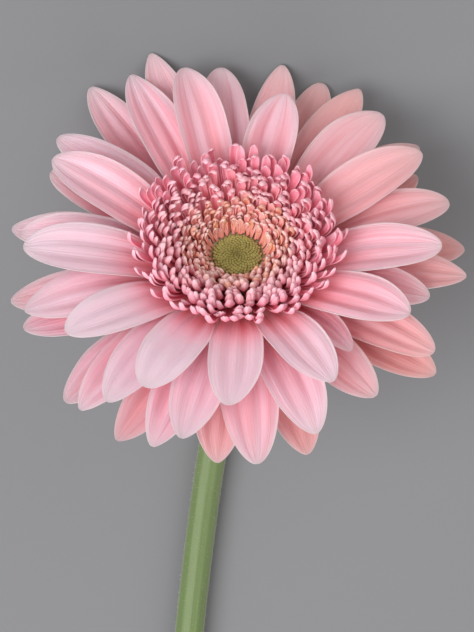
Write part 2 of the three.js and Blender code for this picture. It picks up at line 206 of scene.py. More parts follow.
class Shader:
    """A procedural material, built node by node."""

    MIX_COLOURS = (6, 7)  # which of the mix node's inputs are its two colours
    MIX_RESULT = 2  # which of its outputs is the mixed colour

    def __init__(self, name, **sockets):
        self.material = bpy.data.materials.new(name)
        self.material.use_nodes = True
        self.tree = self.material.node_tree
        self.surface = self.tree.nodes["Principled BSDF"]
        for socket, value in sockets.items():
            self.surface.inputs[socket.replace("_", " ")].default_value = value

    def node(self, kind, inputs=(), **settings):
        """A node with its inputs set or linked."""
        node = self.tree.nodes.new("ShaderNode" + kind)
        for setting, value in settings.items():
            setattr(node, setting, value)
        for key, value in dict(inputs).items():
            if isinstance(value, bpy.types.NodeSocket):
                self.tree.links.new(value, node.inputs[key])
            else:
                node.inputs[key].default_value = value
        return node

    def times(self, a, b):
        return self.node("Math", {0: a, 1: b}, operation="MULTIPLY").outputs[0]

    def plus(self, a, b):
        return self.node("Math", {0: a, 1: b}, operation="ADD").outputs[0]

    def near_edge(self, across, sharpness):
        """A number that is 1 at both edges and falls to 0 inside, the faster the sharper."""
        size = self.node("Math", {0: across}, operation="ABSOLUTE").outputs[0]
        return self.node("Math", {0: size, 1: sharpness}, operation="POWER").outputs[0]

    def ramp(self, factor, stops):
        """A colour from (position, colour) stops."""
        node = self.node("ValToRGB", {"Fac": factor})
        points = node.color_ramp.elements
        while len(points) < len(stops):
            points.new(0.5)
        for point, (position, colour) in zip(points, stops):
            point.position = position
            point.color = (*colour, 1)
        return node.outputs["Color"]

    def fade(self, factor, low, high, start=0.0, end=1.0):
        """A number that goes from start to end as factor goes from low to high."""
        ends = {"From Min": low, "From Max": high, "To Min": start, "To Max": end}
        return self.node("MapRange", {"Value": factor, **ends}).outputs[0]

    def mix(self, factor, a, b):
        """Colour a where factor is 0, colour b where it is 1."""
        colours = {
            key: colour if isinstance(colour, bpy.types.NodeSocket) else (*colour, 1)
            for key, colour in zip(self.MIX_COLOURS, (a, b))
        }
        return self.node("Mix", {0: factor, **colours}, data_type="RGBA").outputs[self.MIX_RESULT]

    def noise(self, vector, scale, detail=2.0, roughness=0.5):
        inputs = {"Vector": vector, "Scale": scale, "Detail": detail, "Roughness": roughness}
        return self.node("TexNoise", inputs).outputs[0]

    def streaks(self, across, along, offset, detail, roughness=0.5, scale=1.0):
        """Noise laid over a piece's own grid, with another pattern for each offset."""
        return self.noise(self.vector(across, along, offset), scale, detail, roughness)

    def grain(self):
        """The u, v and tone of the piece, from its mesh."""
        node = self.node("Attribute", attribute_name="grain")
        parts = self.node("SeparateXYZ", {0: node.outputs["Vector"]})
        return parts.outputs[0], parts.outputs[1], parts.outputs[2]

    def under(self):
        """1 on the lower side of a sheet and 0 on the upper."""
        return self.node("Attribute", attribute_name="under").outputs["Fac"]

    def place(self):
        """Where the shaded point is, in metres."""
        return self.node("NewGeometry").outputs["Position"]

    def vector(self, x, y, z):
        return self.node("CombineXYZ", {0: x, 1: y, 2: z}).outputs[0]

    def colour(self, socket):
        self.tree.links.new(socket, self.surface.inputs["Base Color"])

    def roughness(self, socket):
        self.tree.links.new(socket, self.surface.inputs["Roughness"])

    def bump(self, height, distance, strength):
        """Fine relief, in the shading alone. distance is its depth in metres."""
        bump = self.node("Bump", {"Height": height, "Distance": distance, "Strength": strength})
        self.tree.links.new(bump.outputs[0], self.surface.inputs["Normal"])


def petal_material(name):
    """Soft pink, coral at the foot and pale at the tip, with fine lengthwise veins, pale edges and painted
    light and shade.
    """
    foot_to_tip = [
        (0.0, (0.82, 0.16, 0.17)),
        (0.24, (0.88, 0.28, 0.32)),
        (0.45, (0.90, 0.40, 0.47)),
        (0.8, (0.91, 0.50, 0.58)),
        (1.0, (0.92, 0.60, 0.67)),
    ]
    pale_band, vein, edge = (0.95, 0.66, 0.77), (0.80, 0.24, 0.32), (0.97, 0.80, 0.84)
    # painted light for the petals held up to the lamps, painted warm shade and painted shade for those in
    # shade
    painted_light_pink, painted_warm_shade, painted_shade = (0.97, 0.72, 0.83), (0.84, 0.43, 0.40), (0.72, 0.33, 0.32)
    lower_side = (0.93, 0.60, 0.58)
    s = Shader(
        name,
        Subsurface_Weight=0.7,
        Subsurface_Radius=(1.0, 0.85, 0.85),
        Subsurface_Scale=0.0009,
        Specular_IOR_Level=0.4,
        Sheen_Weight=0.05,
        Sheen_Roughness=0.4,
    )
    along, across, tone = s.grain()
    offset = s.times(tone, 37.0)
    bands = s.streaks(s.times(across, 2.6), s.times(along, 0.9), offset, detail=2.0)
    veins = s.streaks(s.times(across, 9.0), s.times(along, 0.7), offset, detail=3.0, roughness=0.6)
    fine = s.streaks(s.times(across, 26.0), s.times(along, 2.2), offset, detail=3.0, roughness=0.6)

    colour = s.ramp(along, foot_to_tip)
    colour = s.mix(s.fade(bands, 0.42, 0.68, 0.0, 0.6), colour, pale_band)
    colour = s.mix(s.fade(veins, 0.5, 0.3, 0.0, 0.45), colour, vein)
    colour = s.mix(s.times(s.near_edge(across, 14.0), 0.55), colour, edge)
    # the tone goes from pale, below 0.45, to peachy and then dull: painted light, then painted warm shade,
    # then painted shade
    painted_light_share = s.times(s.fade(tone, 0.0, 0.45, 0.9, 0.0), s.fade(along, 0.2, 0.55, 0.15, 1.0))
    colour = s.mix(painted_light_share, colour, painted_light_pink)
    # painted warm shade on the side away from the key light and on the side that lies on the table
    warm_shade_share = s.times(s.fade(tone, 0.5, 0.95, 0.0, 0.75), s.fade(along, 0.2, 0.9, 0.4, 1.0))
    colour = s.mix(warm_shade_share, colour, painted_warm_shade)
    # painted shade on the lower layers and on the petals most turned from the light
    colour = s.mix(s.fade(tone, 0.75, 1.4, 0.0, 0.75), colour, painted_shade)
    colour = s.mix(s.times(s.under(), 0.35), colour, lower_side)
    s.colour(colour)
    s.roughness(s.fade(veins, 0.3, 0.7, 0.62, 0.46))
    s.bump(s.plus(s.times(veins, 1.3), s.times(fine, 0.7)), 0.00024, 0.8)
    return s.material


def floret_material(name, foot, middle, blush, tip, gilding=0.0):
    """Short florets, saturated in their depths and pale at their hooked tips. gilding turns some golden."""
    gold = (0.86, 0.34, 0.08)
    s = Shader(
        name,
        Subsurface_Weight=0.15,
        Subsurface_Radius=(1.0, 0.8, 0.8),
        Subsurface_Scale=0.0004,
        Specular_IOR_Level=0.25,
        Roughness=0.5,
    )
    along, across, tone = s.grain()
    colour = s.ramp(along, [(0.0, foot), (0.5, middle), (0.78, blush), (0.95, tip)])
    edge = s.times(s.near_edge(across, 6.0), s.fade(along, 0.4, 0.85, 0.1, 0.7))
    colour = s.mix(edge, colour, tip)
    colour = s.mix(s.fade(tone, 0.0, 1.0, 0.0, 0.35), colour, middle)
    golden = s.times(s.fade(tone, 0.72, 0.8, 0.0, gilding), s.fade(along, 0.45, 0.6))
    colour = s.mix(golden, colour, gold)
    s.colour(colour)
    cells = s.streaks(s.times(across, 3.0), s.times(along, 6.0), s.times(tone, 50.0), detail=2.0, scale=1.6)
    s.bump(cells, 0.0002, 0.6)
    return s.material


def green_material(name, dark, light, tip, hair):
    """Green plant skin with fine lengthwise ribs. hair is the strength of its downy sheen."""
    s = Shader(
        name,
        Subsurface_Weight=0.15,
        Subsurface_Radius=(0.5, 0.8, 0.2),
        Subsurface_Scale=0.0015,
        Specular_IOR_Level=0.4,
        Sheen_Weight=hair,
        Sheen_Roughness=0.35,
    )
    along, across, tone = s.grain()
    ribs = s.streaks(s.times(across, 7.0), s.times(along, 2.5), s.times(tone, 40.0), detail=3.0, scale=1.4)
    colour = s.mix(s.fade(ribs, 0.35, 0.68), dark, light)
    mottle = s.noise(s.place(), 260.0, 3.0)
    colour = s.mix(s.fade(mottle, 0.4, 0.75, 0.0, 0.3), colour, light)
    colour = s.mix(s.fade(along, 0.86, 1.0, 0.0, 0.75), colour, tip)
    s.colour(colour)
    s.roughness(s.fade(mottle, 0.3, 0.7, 0.55, 0.42))
    s.bump(s.plus(ribs, s.times(mottle, 0.4)), 0.00025, 0.6)
    return s.material


def hair_material(name, colour):
    """Pale, slightly mottled down."""
    s = Shader(name, Roughness=0.5, Sheen_Weight=0.3)
    mottle = s.noise(s.place(), 400.0, 3.0)
    s.colour(s.mix(s.fade(mottle, 0.35, 0.7), [c * 0.82 for c in colour], colour))
    s.bump(mottle, 0.0002, 0.4)
    return s.material


# ---- Camera, light and floor --------------------------------------------------------------

IMAGE_WIDTH, IMAGE_HEIGHT = 474, 632
VIEW_HEIGHT = 79.5  # the camera's elevation above the table, in degrees
CAMERA_DISTANCE = 0.58
SENSOR_WIDTH = 36  # in millimetres, as the lens is
WIDTH_AT_HEAD = 0.115  # how much of the flower the image's width takes in
HEAD_ABOVE_MIDDLE = 0.09  # share of the image's height that the head's centre stands above its middle

elevation = math.radians(VIEW_HEIGHT)
camera_back = Vector((0, -math.cos(elevation), math.sin(elevation)))
camera_right = Vector((-1, 0, 0))
camera_up = camera_back.cross(camera_right)
height_at_head = WIDTH_AT_HEAD * IMAGE_HEIGHT / IMAGE_WIDTH
camera_target = Vector(HEAD_ORIGIN) - camera_up * (HEAD_ABOVE_MIDDLE * height_at_head)
camera_data = bpy.data.cameras.new("camera")
camera_data.sensor_width = SENSOR_WIDTH
camera_data.lens = camera_data.sensor_width * CAMERA_DISTANCE / height_at_head
camera = bpy.data.objects.new("camera", camera_data)
camera_axes = Matrix((camera_right, camera_up, camera_back)).transposed().to_4x4()
camera.matrix_world = Matrix.Translation(camera_target + camera_back * CAMERA_DISTANCE) @ camera_axes
bpy.context.scene.collection.objects.link(camera)
bpy.context.scene.camera = camera


def area_light(name, direction, distance, size, power, colour):
    """A square light at a distance from the head in a direction, facing it. Lengths are in metres."""
    data = bpy.data.lights.new(name, "AREA")
    data.size = size
    data.energy = power
    data.color = colour
    light = bpy.data.objects.new(name, data)
    towards = Vector(direction).normalized()
    light.location = Vector(HEAD_ORIGIN) + towards * distance
    light.rotation_euler = towards.to_track_quat("Z", "Y").to_euler()
    bpy.context.scene.collection.objects.link(light)


area_light("key", (0.52, 0.12, 0.85), 1.7, 1.25, 26.5, (1.0, 0.985, 0.985))
area_light("fill", (-0.6, -0.5, 0.5), 1.5, 1.4, 3.5, (1.0, 0.92, 0.86))
area_light("back", (-0.2, 0.85, 0.5), 1.7, 1.4, 12.5, (1.0, 0.98, 0.96))

world = bpy.data.worlds.new("studio")
world.use_nodes = True
background = world.node_tree.nodes["Background"]
background.inputs["Color"].default_value = (1.0, 0.95, 0.94, 1)
background.inputs["Strength"].default_value = 0.52
bpy.context.scene.world = world
bpy.context.scene.view_settings.view_transform = "Standard"

FLOOR_SIZE = 6.0


def floor_material():
    """Even grey paint with the faintest clouding."""
    darker, lighter = (0.204, 0.211, 0.221), (0.214, 0.221, 0.231)
    s = Shader("floor_paint", Specular_IOR_Level=0.1, Roughness=0.9)
    clouding = s.noise(s.place(), 5.0)
    s.colour(s.mix(s.fade(clouding, 0.3, 0.7), darker, lighter))
    return s.material


floor_mesh = bpy.data.meshes.new("floor")
end = FLOOR_SIZE / 2
floor_mesh.from_pydata([(-end, -end, 0), (end, -end, 0), (end, end, 0), (-end, end, 0)], [], [(0, 1, 2, 3)])
floor_mesh.materials.append(floor_material())
floor = bpy.data.objects.new("floor", floor_mesh)
bpy.context.scene.collection.objects.link(floor)

# ---- Ray florets --------------------------------------------------------------------------

CLAW_HALF_WIDTH = 2.6
TIP_HALF_WIDTH = 0.35
WIDER_THAN_CAD = 1.02
PETAL_THICKNESS, PETAL_EDGE_THICKNESS = 0.42, 0.06
STATION_WIDTH = 5  # points across a CAD petal at each of its stations, on each side
WIDEST_STATION, ACROSS_STATION = 3, 4  # the stations that give a petal's width and the way across it
CURVE_DEGREE = 4  # of the curve through a petal's midline
LAYER_ENDS = (11, 23, 36)  # the last petal of each layer but the lowest, from the top
LAYER_SHADE = (0.0, 0.05, 0.45, 0.65)  # painted shade: how much peachier and duller each layer is, from the top, as each lies in the shade of those above it


def petal_frame(node):
    """The midline and half-width vectors of a CAD petal, turned to azimuth 0, and its own azimuth."""
    station_size = 2 * STATION_WIDTH
    points = to_head(corners(node))
    reach = np.hypot(points[:, 0], points[:, 1])
    foot = points[np.argsort(reach)[:station_size]].mean(0)
    azimuth = math.atan2(foot[1], foot[0])
    points = turned(points, -azimuth)
    stations = points[np.argsort(points[:, 0])].reshape(-1, station_size, 3)
    rows = []
    for station in stations:
        ordered = station[np.argsort(station[:, 1], kind="stable")]
        rows.append(ordered.reshape(STATION_WIDTH, 2, 3).mean(1))
    rows = np.array(rows)
    return rows[:, STATION_WIDTH // 2], (rows[:, -1] - rows[:, 0]) / 2, azimuth


def petal_half_width(u, widest, widest_at, tip_round):
    """A narrow foot, a broad blade and a rounded tip."""
    foot_share = progress(1 - u / widest_at, 0, 1)
    tip_share = progress(u, widest_at, 1)
    foot_part = CLAW_HALF_WIDTH + (widest - CLAW_HALF_WIDTH) * (1 - foot_share**2.2)
    tip_part = TIP_HALF_WIDTH + (widest - TIP_HALF_WIDTH) * (1 - tip_share**2.2) ** tip_round
    return np.where(u < widest_at, foot_part, tip_part)


def petal_surface(node, rng, layer):
    """The mid-surface of a petal, in the head's frame, with its thickness and grain."""
    midline, half_widths, azimuth = petal_frame(node)
    length = np.concatenate([[0], np.cumsum(np.linalg.norm(np.diff(midline, axis=0), axis=1))])
    curve = [np.polyfit(length / length[-1], midline[:, k], CURVE_DEGREE) for k in range(3)]
    widest = np.linalg.norm(half_widths[WIDEST_STATION]) * WIDER_THAN_CAD
    side = unit(half_widths[ACROSS_STATION])

    u, v = uv_grid(PETAL_ALONG, PETAL_ACROSS)
    u = 1 - (1 - u) ** 1.6  # closer rows at the tip
    v = 0.35 * v + 0.65 * np.sin(v * math.pi / 2)  # closer columns at the edges
    middle = np.stack([np.polyval(k, u) for k in curve], -1)
    slope = unit(np.stack([np.polyval(np.polyder(k), u) for k in curve], -1))
    up = unit(np.cross(slope, np.broadcast_to(side, slope.shape)))

    half = petal_half_width(u, widest, rng.uniform(0.50, 0.60), rng.uniform(0.56, 0.76))
    outline_wobble = smooth_noise(rng, u[:, :1], 3, 1.6)
    half = half * (1 + 0.04 * outline_wobble * np.sin(math.pi * u[:, :1]))

    far = 0.5 - 0.5 * math.sin(azimuth)  # 1 on the side that lies on the table, 0 on the side held highest
    share_out = half / widest * v  # how far out, as a share of the greatest half-width
    cup_depth = 1.3 + (2.6 * far if layer < 2 else 0.6) * rng.uniform(0.4, 1)
    cup = cup_depth * share_out**2 * progress(u, 0, 0.3)
    folded = np.sin(0.92 * math.pi * u) * progress(1 - u, 0, 0.3)  # the folds run out before the tip
    depth, shift = rng.uniform(0.22, 0.48), rng.uniform(-0.5, 0.5)
    folds = depth * folded * np.cos(3 * math.pi * v + shift + 0.6 * (u - 0.5)) * (1 - 0.5 * v**4)
    ripple = 0.045 * folded * np.cos(11 * math.pi * v + rng.uniform(0, 6))
    lip = rng.uniform(-0.15, 0.55) * folded * progress(np.abs(v), 0.78, 1) ** 2
    wave = 0.5 * smooth_noise(rng, u, 3, 1.5) * np.sin(math.pi * u) ** 2
    edge_wave = 0.5 * smooth_noise(rng, u + 0.15 * v, 4, 3.2) * share_out * np.abs(v) * u
    curl = rng.uniform(-0.9, 1.3) * u**7
    sway = rng.uniform(-1.5, 1.5) * u**4  # the tip leans to one side
    height = cup + folds + ripple + lip + wave + edge_wave + curl
    surface = middle + side * (half * v + sway)[..., None] + up * height[..., None]
    thickness = PETAL_THICKNESS * (1 - v**4) * (1 - 0.4 * u**3 - 0.6 * u**16) + PETAL_EDGE_THICKNESS

    away_from_key = (0.5 - 0.5 * math.cos(azimuth)) ** 1.5  # painted shade: 1 on the side turned away from the key light, which is made peachier
    # painted light and shade: the tone is lowest on the petals held up towards the lamps and rises on the
    # side on the table, on the side away from the key light and on the lower layers; a small part is random
    tone = 0.45 * far + 0.5 * away_from_key + rng.uniform(-0.12, 0.12) - 0.05
    tone += LAYER_SHADE[layer] * (1 - 0.8 * far)
    return turned(surface, azimuth), thickness, grain_of(u, v, tone)


petal_skin = petal_material("petal_skin")
for number in range(1, PETALS + 1):
    petal_rng = np.random.default_rng(PETAL_SEED + number)
    node = f"ray_floret_{number:02d}"
    layer = sum(number > last for last in LAYER_ENDS)
    body = closed_sheet(*petal_surface(node, petal_rng, layer))
    make_head_piece(f"petal_{number:02d}", body, petal_skin, [node])

# ---- Trans and disc florets ---------------------------------------------------------------

HOOK_FROM = 0.66  # where along it a floret begins to hook
HOOK_CREST = 0.86  # where along it a floret reaches furthest
RING_TOLERANCE = 0.05  # how far apart the vertices of a ring's tips, or of its foot, can be
ROW_SHARES = (0, 0.34, 0.67)  # where the rows of one ring stand, on the way to the next ring


def ring_frame(node):
    """How many teeth a CAD ring has, where the first points, and its foot and tip as (radius, height)."""
    points = to_head(corners(node))
    radius = np.hypot(points[:, 0], points[:, 1])
    tips = radius > radius.max() - RING_TOLERANCE
    angle = np.arctan2(points[tips, 1], points[tips, 0])
    count = int(tips.sum() // 2)
    first = np.angle(np.exp(1j * count * angle).sum()) / count
    feet = points[:, 2] < points[:, 2].min() + RING_TOLERANCE
    foot = (radius[feet].mean(), points[:, 2].min())
    tip = (radius.max(), points[tips, 2].mean())
    return count, first, foot, tip


def stretched(foot, tip, size):
    """Where a tip comes to when its distance from the foot changes by a factor."""
    return foot[0] + (tip[0] - foot[0]) * size, foot[1] + (tip[1] - foot[1]) * size


def floret_surface(foot, tip, width, lean, hook, depth, rng):
    """A strap that rises from its foot, turns up by lean and hooks inwards at its round, spoon-like tip."""
    u, v = uv_grid(FLORET_ALONG, FLORET_ACROSS)
    s = np.linspace(0, 1, FLORET_ALONG)
    chord = math.atan2(tip[1] - foot[1], tip[0] - foot[0])
    bend = progress(s, HOOK_FROM, 1)
    direction = chord + lean * (s / HOOK_FROM - 0.5) + hook * bend**2 * (3 - 2 * bend)
    steps = np.stack([np.cos(direction), 0 * s, np.sin(direction)], -1)
    path = np.concatenate([[(0, 0, 0)], np.cumsum((steps[1:] + steps[:-1]) / 2, axis=0)])
    path = path / np.linalg.norm(path[int(HOOK_CREST * FLORET_ALONG)])
    path = path * math.hypot(tip[0] - foot[0], tip[1] - foot[1])
    middle = (path + (foot[0], 0, foot[1]))[:, None]
    side = np.array([0.0, 1.0, 0.0])
    up = np.cross(steps, side)[:, None]

    blade = progress(u, 0.1, 0.7)
    half = width / 2 * (0.4 + 0.6 * blade**1.3) * (1 - progress(u, 0.72, 1.005) ** 2.4) ** 0.5
    twist = rng.uniform(-0.3, 0.3) * u
    channel = depth * (0.4 + 0.6 * blade) * v**2 * (1 - 0.5 * progress(u, 0.8, 1))
    height = channel - 0.1 * np.exp(-((v / 0.25) ** 2)) * blade  # with a groove down the middle
    offset = half * v
    surface = middle + side * (offset * np.cos(twist))[..., None]
    surface = surface + up * (height + offset * np.sin(twist))[..., None]
    surface[..., 1] += rng.uniform(-1.1, 1.1) * u**2
    thickness = 0.34 * (1 - 0.6 * np.abs(v) ** 3) * (1 - 0.4 * u**3)
    return surface, thickness, grain_of(u, v, rng.uniform(0, 1))


def floret_row(row, rng, width, lean, hook, depth, unevenness):
    """One row of florets, none quite like the next. lean and hook are in degrees."""
    count, first, foot, tip = row
    bodies = []
    for k in range(count):
        angle = first + (k + rng.uniform(-0.45, 0.45)) * FULL_TURN / count
        reach, height = stretched(foot, tip, 1 + unevenness * rng.uniform(-1, 0.8))
        own_tip = (reach, height + rng.uniform(-0.6, 0.6))
        own_width = width * rng.uniform(0.85, 1.1)
        own_lean = math.radians(lean + rng.uniform(-10, 10))
        hook_share = 0.75 - 0.25 * math.sin(angle)  # they hook least on the side that is held highest
        own_hook = math.radians((hook + rng.uniform(-30, 20)) * hook_share)
        surface, thickness, grain = floret_surface(foot, own_tip, own_width, own_lean, own_hook, depth, rng)
        bodies.append(closed_sheet(turned(surface, angle), thickness, grain))
    return bodies


def between(row, inner_row, share):
    """A row some share of the way from one ring to the next, turned on by the same share of a step."""
    count, first, foot, tip = row
    _, _, inner_foot, inner_tip = inner_row
    middle_foot = tuple(a + (b - a) * share for a, b in zip(foot, inner_foot))
    middle_tip = tuple(a + (b - a) * share for a, b in zip(tip, inner_tip))
    return count, first + share * FULL_TURN / count, middle_foot, middle_tip


outer_skin = floret_material(
    "trans_skin_outer",
    foot=(0.93, 0.14, 0.18),
    middle=(0.95, 0.25, 0.35),
    blush=(0.97, 0.42, 0.53),
    tip=(0.97, 0.60, 0.69),
)
middle_skin = floret_material(
    "trans_skin_middle",
    foot=(0.93, 0.14, 0.17),
    middle=(0.95, 0.26, 0.33),
    blush=(0.97, 0.44, 0.52),
    tip=(0.98, 0.63, 0.69),
)
inner_skin = floret_material(
    "trans_skin_inner",
    foot=(0.92, 0.18, 0.15),
    middle=(0.95, 0.35, 0.33),
    blush=(0.96, 0.50, 0.48),
    tip=(0.97, 0.68, 0.65),
    gilding=0.35,
)
cream_skin = floret_material(
    "disc_floret_skin",
    foot=(0.86, 0.24, 0.16),
    middle=(0.93, 0.40, 0.34),
    blush=(0.96, 0.56, 0.49),
    tip=(0.96, 0.74, 0.66),
    gilding=0.5,
)

# The rings from the outside in: skin, width, lean, hook, depth of the channel, unevenness of the lengths
RINGS = [
    (outer_skin, 2.4, 18, 78, 0.62, 0.15),
    (outer_skin, 2.4, 24, 92, 0.66, 0.15),
    (middle_skin, 2.3, 28, 100, 0.66, 0.15),
    (middle_skin, 2.1, 28, 105, 0.64, 0.15),
    (inner_skin, 1.9, 24, 100, 0.58, 0.16),
    (inner_skin, 1.6, 18, 95, 0.50, 0.18),
]
ring_frames = [ring_frame(f"trans_florets_{number}") for number in range(1, len(RINGS) + 1)]
disc_frame = ring_frame("disc_florets")
ring_frames.append(disc_frame)
for number, (skin, *shape) in enumerate(RINGS, 1):
    ring_rng = np.random.default_rng(RING_SEED + number)
    ring, next_ring = ring_frames[number - 1 : number + 1]
    bodies = []
    for share in ROW_SHARES:
        bodies.extend(floret_row(between(ring, next_ring, share), ring_rng, *shape))
    node = f"trans_florets_{number}"
    make_head_piece(f"trans_ring_{number}", gathered(bodies), skin, [node])

# The two rows of disc florets, as the rings are given, but without their skin
DISC_ROW = (1.4, 14, 85, 0.5, 0.22)
CLOSER_ROW = (1.3, 10, 70, 0.4, 0.22)
disc_rng = np.random.default_rng(DISC_SEED)
count, first, foot, tip = disc_frame
closer_foot, closer_tip = (foot[0] - 0.5, foot[1]), (tip[0] - 0.3, tip[1] - 1.6)
closer_frame = (count, first + 0.3 * FULL_TURN / count, closer_foot, closer_tip)
bodies = floret_row(disc_frame, disc_rng, *DISC_ROW) + floret_row(closer_frame, disc_rng, *CLOSER_ROW)
make_head_piece("disc_ring", gathered(bodies), cream_skin, ["disc_florets"])

# ---- Eye: a dimpled dome of closed buds ---------------------------------------------------

EYE_BUDS = 230
GOLDEN_ANGLE = math.pi * (3 - math.sqrt(5))
DOME_SEGMENTS, BUD_SEGMENTS, DOME_RINGS = 64, 8, 26
DOME_TONE = 0.2


def revolved(profile, segments, tone):
    """A lathe body from its profile, a list of (radius, height) from the axis and back to it."""
    profile = np.array(profile, float)
    angle = np.arange(segments) * FULL_TURN / segments
    rings = profile[1:-1]
    radii, heights = rings[:, :1], np.repeat(rings[:, 1:], segments, 1)
    points = np.stack([radii * np.cos(angle), radii * np.sin(angle), heights], -1).reshape(-1, 3)
    points = np.concatenate([points, [(0, 0, profile[0, 1]), (0, 0, profile[-1, 1])]])
    bottom, top = len(points) - 2, len(points) - 1
    last = (len(rings) - 1) * segments
    faces = grid_faces(len(rings), segments, closed=True).tolist()
    for k in range(segments):
        n = (k + 1) % segments
        faces.append([bottom, n, k])
        faces.append([top, last + k, last + n])
    along = np.concatenate([np.repeat(np.linspace(0, 1, len(rings)), segments), [0, 1]])
    return points, faces, grain_of(along, np.zeros_like(along), tone), np.zeros(len(points))


eye_corners = to_head(corners("disc_eye"))
EYE_RADIUS = np.hypot(eye_corners[:, 0], eye_corners[:, 1]).max()
EYE_FOOT, EYE_TOP = eye_corners[:, 2].min(), eye_corners[:, 2].max()


def eye_height(radius):
    """The dome's height: a low cushion, dimpled in the middle."""
    share = radius / EYE_RADIUS
    return EYE_TOP - 0.35 - 1.1 * share**4 - 0.55 * np.exp(-((share / 0.22) ** 2))


def eye_bodies(rng):
    """The dome and its buds, which stand in a spiral. The grain across them is how far out they stand."""
    profile = [(0, EYE_FOOT), (EYE_RADIUS * 0.98, EYE_FOOT)]
    profile += [(radius, eye_height(radius)) for radius in np.linspace(EYE_RADIUS, 0, DOME_RINGS)]
    bodies = [revolved(profile, DOME_SEGMENTS, DOME_TONE)]
    for k in range(EYE_BUDS):
        radius = EYE_RADIUS * 0.97 * math.sqrt((k + 0.6) / EYE_BUDS) + rng.uniform(-0.08, 0.08)
        angle = k * GOLDEN_ANGLE + rng.uniform(-0.1, 0.1) / max(radius, 0.5)
        size = 0.29 + 0.12 * radius / EYE_RADIUS + rng.uniform(-0.05, 0.05)
        tall = rng.uniform(0.6, 1.1)
        sides = [(size, -0.25), (size * 1.05, 0.06), (size * 0.8, 0.2 * tall), (size * 0.4, 0.28 * tall)]
        bud = [(0, -0.25), *sides, (0, 0.3 * tall)]
        points, faces, grain, under = revolved(bud, BUD_SEGMENTS, rng.uniform(0, 1))
        grain[:, 1] = radius / EYE_RADIUS
        points = points + (radius * math.cos(angle), radius * math.sin(angle), eye_height(radius))
        bodies.append((points, faces, grain, under))
    return bodies


def eye_material():
    """Yellow-green buds, darker towards the dimple and paler on their tops."""
    middle_to_edge = [
        (0.0, (0.20, 0.15, 0.03)),
        (0.25, (0.30, 0.26, 0.06)),
        (0.8, (0.42, 0.39, 0.11)),
        (1.0, (0.52, 0.45, 0.17)),
    ]
    darker, bud_top = (0.26, 0.20, 0.05), (0.55, 0.52, 0.22)
    s = Shader(
        "eye_skin",
        Subsurface_Weight=0.2,
        Subsurface_Radius=(0.6, 0.8, 0.2),
        Subsurface_Scale=0.001,
        Roughness=0.6,
    )
    along, out, tone = s.grain()
    colour = s.ramp(out, middle_to_edge)
    colour = s.mix(s.fade(tone, 0.3, 1.0, 0.0, 0.5), colour, darker)
    colour = s.mix(s.fade(along, 0.7, 1.0, 0.0, 0.12), colour, bud_top)
    s.colour(colour)
    s.bump(s.noise(s.place(), 1500.0), 0.0001, 0.5)
    return s.material


eye = gathered(eye_bodies(np.random.default_rng(EYE_SEED)))
make_head_piece("eye", eye, eye_material(), ["disc_eye"])

# ---- Receptacle and involucre -------------------------------------------------------------

CORNER_CUTS = 3
PLATE_SEGMENTS, PLATE_STREAKS = 96, 9


def smooth_profile(points):
    """More points along a profile's bends, by cutting its corners again and again."""
    points = np.array(points, float)
    for _ in range(CORNER_CUTS):
        cut = [points[0]]
        for a, b in zip(points[:-1], points[1:]):
            cut.extend([a * 0.75 + b * 0.25, a * 0.25 + b * 0.75])
        cut.append(points[-1])
        points = np.array(cut)
    return points


plate_corners = to_head(plate)
plate_radius = np.hypot(plate_corners[:, 0], plate_corners[:, 1])
levels = np.unique(np.round(plate_corners[:, 2], 3))
outline = [(plate_radius[np.abs(plate_corners[:, 2] - level) < 0.01].max(), level) for level in levels]
profile = [(0, levels[0]), *smooth_profile(outline[:-1]), outline[-1], (0, levels[-1])]
plate_body = revolved(profile, PLATE_SEGMENTS, 0.5)
points, _, grain, _ = plate_body
grain[:, 1] = np.sin(np.arctan2(points[:, 1], points[:, 0]) * PLATE_STREAKS)
plate_skin = green_material(
    "receptacle_skin", dark=(0.40, 0.46, 0.20), light=(0.56, 0.60, 0.33), tip=(0.62, 0.60, 0.38), hair=0.1
)
make_head_piece("receptacle_flesh", plate_body, plate_skin, ["receptacle"])

BRACT_LENGTHENING = 1.22  # so that the bracts cover the receptacle's flank
BRACT_BOW = np.array([0.35, 0, -0.9])  # the way a bract bows out, as (outwards, sideways, up)


def bract_surface(foot, tip, width, bow, rng):
    """A lance-shaped leaf that cups the head, with a raised midrib."""
    u, v = uv_grid(BRACT_ALONG, BRACT_ACROSS)
    start, end = np.array([foot[0], 0, foot[1]]), np.array([tip[0], 0, tip[1]])
    pull = (start + end) / 2 + BRACT_BOW * bow
    t = u[..., None]
    middle = (1 - t) ** 2 * start + 2 * t * (1 - t) * pull + t**2 * end
    slope = unit(2 * (1 - t) * (pull - start) + 2 * t * (end - pull))
    side = np.array([0.0, 1.0, 0.0])
    up = np.cross(slope, np.broadcast_to(side, slope.shape))
    half = width / 2 * (0.75 + 0.5 * u) * (1 - 0.97 * progress(u, 0.4, 1) ** 1.6)
    midrib = 0.16 * np.exp(-((v / 0.22) ** 2)) * (1 - u)
    height = 0.35 * v**2 * (1 - u) - midrib + rng.uniform(-0.3, 0.1) * u**3
    surface = middle + side * (half * v)[..., None] + up * height[..., None]
    surface[..., 1] += rng.uniform(-0.6, 0.6) * u**2
    thickness = 0.5 * (1 - 0.6 * np.abs(v) ** 3) * (1 - 0.6 * u**2)
    return surface, thickness, grain_of(u, v, rng.uniform(0, 1))


bract_skin = green_material(
    "bract_skin", dark=(0.10, 0.17, 0.035), light=(0.22, 0.33, 0.09), tip=(0.33, 0.20, 0.12), hair=0.35
)
